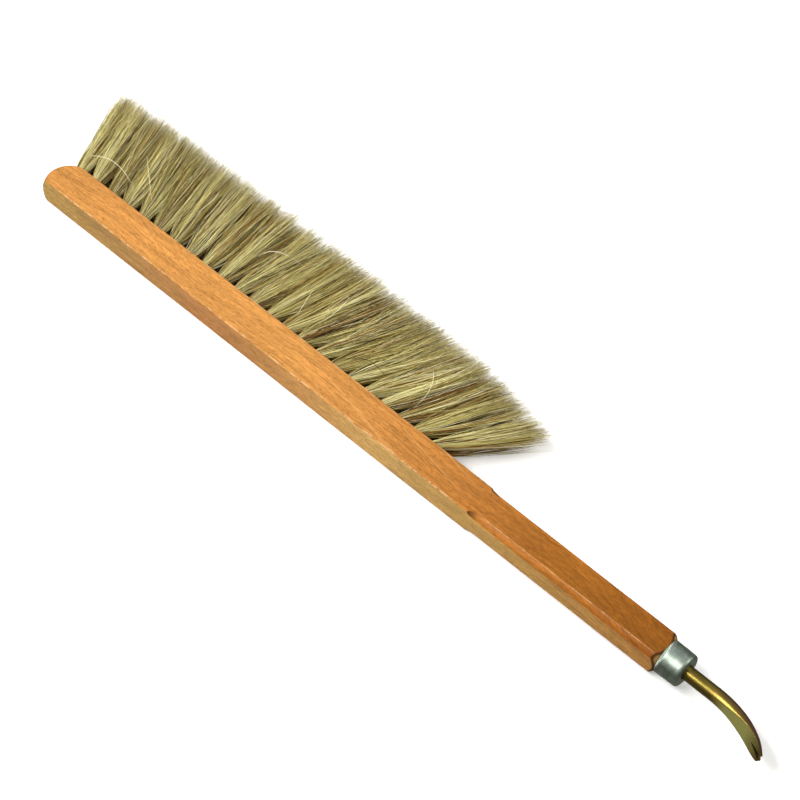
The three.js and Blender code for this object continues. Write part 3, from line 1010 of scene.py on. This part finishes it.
def wood_figure(s, x):
    """Shade of the growth rings, which slant one way near the tip and the other on the handle."""
    plain = s.noise((14, 260, 260), 4.0, 0.6, 0.5)
    rising = s.noise((16, 330, 330), 2.0, 0.5, 0.4, place=s.turned(-9))
    falling = s.noise((26, 150, 150), 2.0, 0.5, 0.6, place=s.turned(24))
    on_left = s.levels(x, -0.1, -0.17)
    on_handle = s.levels(x, 0.0, 0.05)
    shade = s.levels(plain, 0.25, 0.75, 0.8, 1.15)
    left_shade = s.levels(rising, 0.3, 0.7, 0.9, 1.1)
    handle_shade = s.levels(falling, 0.35, 0.65, 0.9, 1.08)
    shade = s.times(shade, s.levels(on_left, 0, 1, 1.0, left_shade))
    return s.times(shade, s.levels(on_handle, 0, 1, 1.0, handle_shade))


def growth_lines(s, x):
    """Thin pale growth lines that cross the head at a slant, near the stop."""
    lines = s.noise((9, 760, 760), 0.0, place=s.turned(11))
    near_shoulder = s.times(s.levels(x, -0.11, -0.08), s.levels(x, 0.0, -0.02))
    return s.times(s.levels(lines, 0.62, 0.7), near_shoulder)


def worn_and_highlit_arrises(s, x, rounded, normal_y, flat_z):
    """Pale broken lines on the head's arrises and where the handle's rounding starts: worn edges
    with a painted highlight.
    """
    broken = s.levels(s.noise((190, 20, 20), 3.0, 0.7), 0.46, 0.56)
    on_head = s.times(s.levels(x, 0.0, -0.003), s.levels(x, -0.262, -0.255))
    head = s.times(rounded, on_head, broken, 0.42)
    start = s.times(s.levels(flat_z, 0.999, 0.992), s.levels(flat_z, 0.955, 0.975))
    near_side = s.levels(normal_y, 0.0, -0.05)
    unbroken = s.levels(broken, 0.0, 1.0, 0.35, 1.0)
    handle = s.times(start, near_side, s.levels(x, 0.004, 0.012), unbroken, 0.36)
    return s.math("ADD", head, handle, clamp=True)


def lathe_cut(s, place, normal_x, colour, fibres):
    """The lathe's cut at the handle's end: dark outlines round pale end grain."""
    x, y, z = place
    line = s.levels(cone_distance(s, x, y, z), 0.0009, 0.0002)
    line = s.times(line, s.levels(normal_x, 0.5, 0.2), 0.85)
    colour = s.mix(line, colour, rgb(60, 32, 10))
    end_grain = s.ramp(s.levels(edge_distance(s, y, z), 0.0002, 0.0012), [
        (0.0, rgb(52, 28, 8)), (0.4, rgb(110, 74, 28)), (1.0, rgb(156, 122, 66)),
    ])
    end_grain = s.scaled(end_grain, s.levels(fibres, 0.3, 0.7, 0.8, 1.2))
    return s.mix(s.levels(normal_x, 0.35, 0.6), colour, end_grain)


def wood_material():
    """Oiled beech, paler on the back, partly as painted light, and darker towards the handle's end.
    """
    s = Shader("beech")
    place = s.split(s.place)
    x = place[0]
    normal_x, normal_y, normal_z = s.split(s.geometry.outputs["Normal"])
    flat_y = s.math("ABSOLUTE", normal_y)
    flat_z = s.math("ABSOLUTE", normal_z)
    rounded = s.levels(s.math("MAXIMUM", flat_y, flat_z), 0.995, 0.96)
    streaks, fibres, pores = wood_grain(s)
    face, back, edge = wood_tints(s, x)
    # The back's tint is partly its other cut of grain and partly painted light: the wide faces take
    # warm lamp light that the back misses.
    colour = s.mix(s.levels(flat_y, 0.93, 0.965), face, back)
    colour = s.mix(s.times(rounded, s.levels(x, 0.0, 0.004)), colour, edge)
    colour = s.scaled(colour, wood_figure(s, x))
    colour = s.scaled(colour, s.levels(streaks, 0.33, 0.67, 0.82, 1.16))
    colour = s.scaled(colour, s.levels(fibres, 0.33, 0.67, 0.83, 1.16))
    colour = s.mix(s.times(s.levels(pores, 0.6, 0.7), 0.5), colour, rgb(112, 62, 22))
    colour = s.mix(s.times(growth_lines(s, x), 0.17), colour, rgb(236, 186, 124))
    # Worn edges and a painted highlight along the arrises.
    colour = s.mix(worn_and_highlit_arrises(s, x, rounded, normal_y, flat_z), colour, rgb(238, 196, 144))
    # The run-out of the handle's rounded edges is coloured dark brown.
    runout_dark = s.times(rounded, s.levels(x, -0.0008, 0.0002), s.levels(x, 0.0055, 0.0005))
    colour = s.mix(s.times(runout_dark, 0.85), colour, rgb(74, 36, 10))
    # Painted shade: the rounded tip darkens on its end grain, where it turns away along the bar.
    tip = s.times(s.levels(s.math("ABSOLUTE", normal_x), 0.25, 0.8), s.levels(x, -0.25, -0.255))
    colour = s.mix(s.times(tip, 0.6), colour, rgb(150, 90, 40))
    colour = lathe_cut(s, place, normal_x, colour, fibres)
    s.set(Base_Color=colour, Roughness=s.levels(streaks, 0.3, 0.7, 0.42, 0.58))
    s.set(Specular_IOR_Level=s.levels(runout_dark, 0.0, 1.0, 0.17, 0.05))
    relief = s.math("ADD", s.math("MULTIPLY", pores, -0.5), s.math("ADD", streaks, fibres))
    s.bump(relief, 0.3, 0.00015)
    return s.material


def zinc_material():
    """Drawn sheet steel with a spotty zinc coat."""
    s = Shader("zinc")
    spots = s.noise((260, 260, 260), 3.0, 0.6)
    blotches = s.noise((420, 130, 130), 2.0, 0.5, 0.4)
    drawn = s.noise((60, 1500, 1500), 2.0, 0.6)
    colour = s.ramp(spots, [
        (0.3, rgb(146, 158, 142)), (0.55, rgb(168, 180, 166)), (0.72, rgb(188, 198, 186)),
    ])
    colour = s.scaled(colour, s.levels(blotches, 0.3, 0.7, 0.85, 1.1))
    s.set(Base_Color=colour, Metallic=1.0, Roughness=s.levels(drawn, 0.3, 0.7, 0.36, 0.5))
    s.bump(s.math("ADD", drawn, blotches), 0.2, 0.0002)
    return s.material


def brass_material():
    """Yellow passivated steel, with a rosy bloom outside the bend, a green one in the hollow and
    painted dark reflection at the outline.
    """
    s = Shader("yellow_zinc")
    x = s.split(s.place)[0]
    normal_y = s.split(s.geometry.outputs["Normal"])[1]
    cloud = s.noise((75, 120, 120), 3.0, 0.55, 0.5)
    drawn = s.noise((50, 1800, 1800), 2.0, 0.6)
    colour = s.ramp(cloud, [
        (0.3, rgb(122, 106, 48)), (0.46, rgb(142, 124, 58)), (0.58, rgb(154, 128, 64)),
        (0.72, rgb(148, 116, 66)),
    ])
    in_bend = s.levels(x, BEND_START * MM, (BEND_START + 8) * MM)
    outside = s.levels(normal_y, 0.0, 0.5)
    bloom = s.times(in_bend, outside, s.levels(cloud, 0.35, 0.55, 0.3, 0.8))
    colour = s.mix(bloom, colour, rgb(172, 118, 98))
    hollow = s.times(in_bend, s.levels(normal_y, -0.68, -0.84))
    colour = s.mix(s.times(hollow, 0.85), colour, rgb(158, 156, 88))
    # Painted reflection: the rod darkens towards its outline, less in the bend and not in the
    # hollow, as it would mirror a dark room.
    outline = s.times(s.levels(s.facing(0.4), 0.3, 0.8), s.levels(in_bend, 0.0, 1.0, 0.75, 0.35))
    outline = s.times(outline, s.levels(hollow, 0.0, 1.0, 1.0, 0.0))
    colour = s.mix(outline, colour, rgb(72, 50, 14))
    roughness = s.math("ADD", s.levels(drawn, 0.3, 0.7, 0.27, 0.38), s.times(hollow, 0.12))
    s.set(Base_Color=colour, Metallic=s.levels(hollow, 0.0, 1.0, 1.0, 0.6), Roughness=roughness)
    s.bump(s.math("ADD", drawn, cloud), 0.12, 0.0002)
    return s.material


def hair_material():
    """Hair coloured by its tone, with painted shade towards the root, and paler at the tip."""
    s = Shader("horsehair")
    along = s.attribute("along")
    colour = s.ramp(s.attribute("tone"), [
        (0.0, rgb(30, 22, 10)), (0.12, rgb(84, 56, 20)), (0.24, rgb(166, 116, 44)),
        (0.36, rgb(156, 138, 70)), (0.6, rgb(214, 202, 124)), (0.82, rgb(240, 230, 160)),
        (1.0, rgb(252, 246, 210)),
    ])
    # Painted shade: the hairs darken towards the root, deep in the tufts.
    colour = s.mix(s.levels(along, 0.3, 0.0, 0.0, 0.22), colour, rgb(110, 92, 46))
    colour = s.mix(s.levels(along, 0.88, 1.0, 0.0, 0.45), colour, rgb(236, 230, 196))
    s.set(Base_Color=colour, Roughness=s.levels(along, 0, 1, 0.4, 0.5))
    s.set(Specular_IOR_Level=0.5)
    return s.material


# ================================================================ stage


def floor_material():
    """Pale paint that glows a little to the camera, so that shadows stay faint."""
    s = Shader("floor_paint")
    mottle = s.noise((3, 3, 3), 2.0)
    colour = s.ramp(mottle, [(0.3, (0.86, 0.86, 0.85, 1)), (0.7, (0.88, 0.88, 0.87, 1))])
    glow = s.times(s.light_path("Is Camera Ray"), FLOOR_GLOW)
    s.set(Base_Color=colour, Roughness=0.9, Emission_Color=(1, 1, 1, 1), Emission_Strength=glow)
    return s.material


def build_floor():
    half = FLOOR_HALF_SIZE
    low = CAD_BOX[0].z
    corners = [(-half, -half, low), (half, -half, low), (half, half, low), (-half, half, low)]
    mesh = bpy.data.meshes.new("floor")
    mesh.from_pydata(corners, [], [(0, 1, 2, 3)])
    mesh.materials.append(floor_material())
    floor = bpy.data.objects.new("floor", mesh)
    floor.visible_glossy = False
    bpy.context.scene.collection.objects.link(floor)


def build_camera():
    back = Vector((
        math.sin(CAMERA_TURN),
        -math.sin(CAMERA_TILT) * math.cos(CAMERA_TURN),
        math.cos(CAMERA_TILT) * math.cos(CAMERA_TURN),
    ))
    rise = Vector((0, math.cos(CAMERA_TILT), math.sin(CAMERA_TILT)))
    flat = rise.cross(back)
    right = math.cos(CAMERA_ROLL) * flat + math.sin(CAMERA_ROLL) * rise
    up = back.cross(right)
    data = bpy.data.cameras.new("camera")
    data.lens = CAMERA_LENS
    data.sensor_width = CAMERA_SENSOR
    camera = bpy.data.objects.new("camera", data)
    turn = Matrix((right, up, back)).transposed().to_4x4()
    camera.matrix_world = Matrix.Translation(CAMERA_TARGET + CAMERA_DISTANCE * back) @ turn
    bpy.context.scene.collection.objects.link(camera)
    bpy.context.scene.camera = camera


def add_light(name, direction, distance, size, power):
    """A soft box that faces the brush's middle."""
    data = bpy.data.lights.new(name, "AREA")
    data.shape = "RECTANGLE"
    data.size, data.size_y = size
    data.energy = power
    light = bpy.data.objects.new(name, data)
    away = Vector(direction).normalized()
    light.location = CAMERA_TARGET + away * distance
    light.rotation_mode = "QUATERNION"
    light.rotation_quaternion = away.to_track_quat("Z", "X")
    bpy.context.scene.collection.objects.link(light)


def room_reflection(nodes):
    """What metal reflects: a dim floor, a dark horizon and a bright ceiling."""
    direction = nodes.new("TexCoord").outputs["Generated"]
    rise = nodes.levels(nodes.split(direction)[2], -1.0, 1.0)
    return nodes.ramp(rise, [
        (0.0, (0.24, 0.24, 0.22, 1)), (0.45, (0.08, 0.08, 0.07, 1)), (0.95, (0.42, 0.43, 0.43, 1)),
    ])


def build_world():
    """A pale backdrop for the camera, soft light, and a room with contrast for reflections."""
    world = bpy.data.worlds.new("studio")
    world.use_nodes = True
    nodes = Nodes(world.node_tree)
    room = room_reflection(nodes)
    colour = nodes.mix(nodes.light_path("Is Glossy Ray"), SOFT_LIGHT, room)
    colour = nodes.mix(nodes.light_path("Is Camera Ray"), colour, BACKDROP)
    nodes.feed(world.node_tree.nodes["Background"].inputs["Color"], colour)
    bpy.context.scene.world = world


def build_stage():
    build_floor()
    build_camera()
    build_world()
    for light in LIGHTS:
        add_light(*light)
    bpy.context.scene.view_settings.view_transform = "Standard"


# ================================================================ build


def build_brush():
    build_wood(wood_material())
    build_ferrule(zinc_material())
    build_claw(brass_material())
    hair = hair_material()
    build_tufts(hair)
    build_stray_hairs(hair)


build_brush()
build_stage()
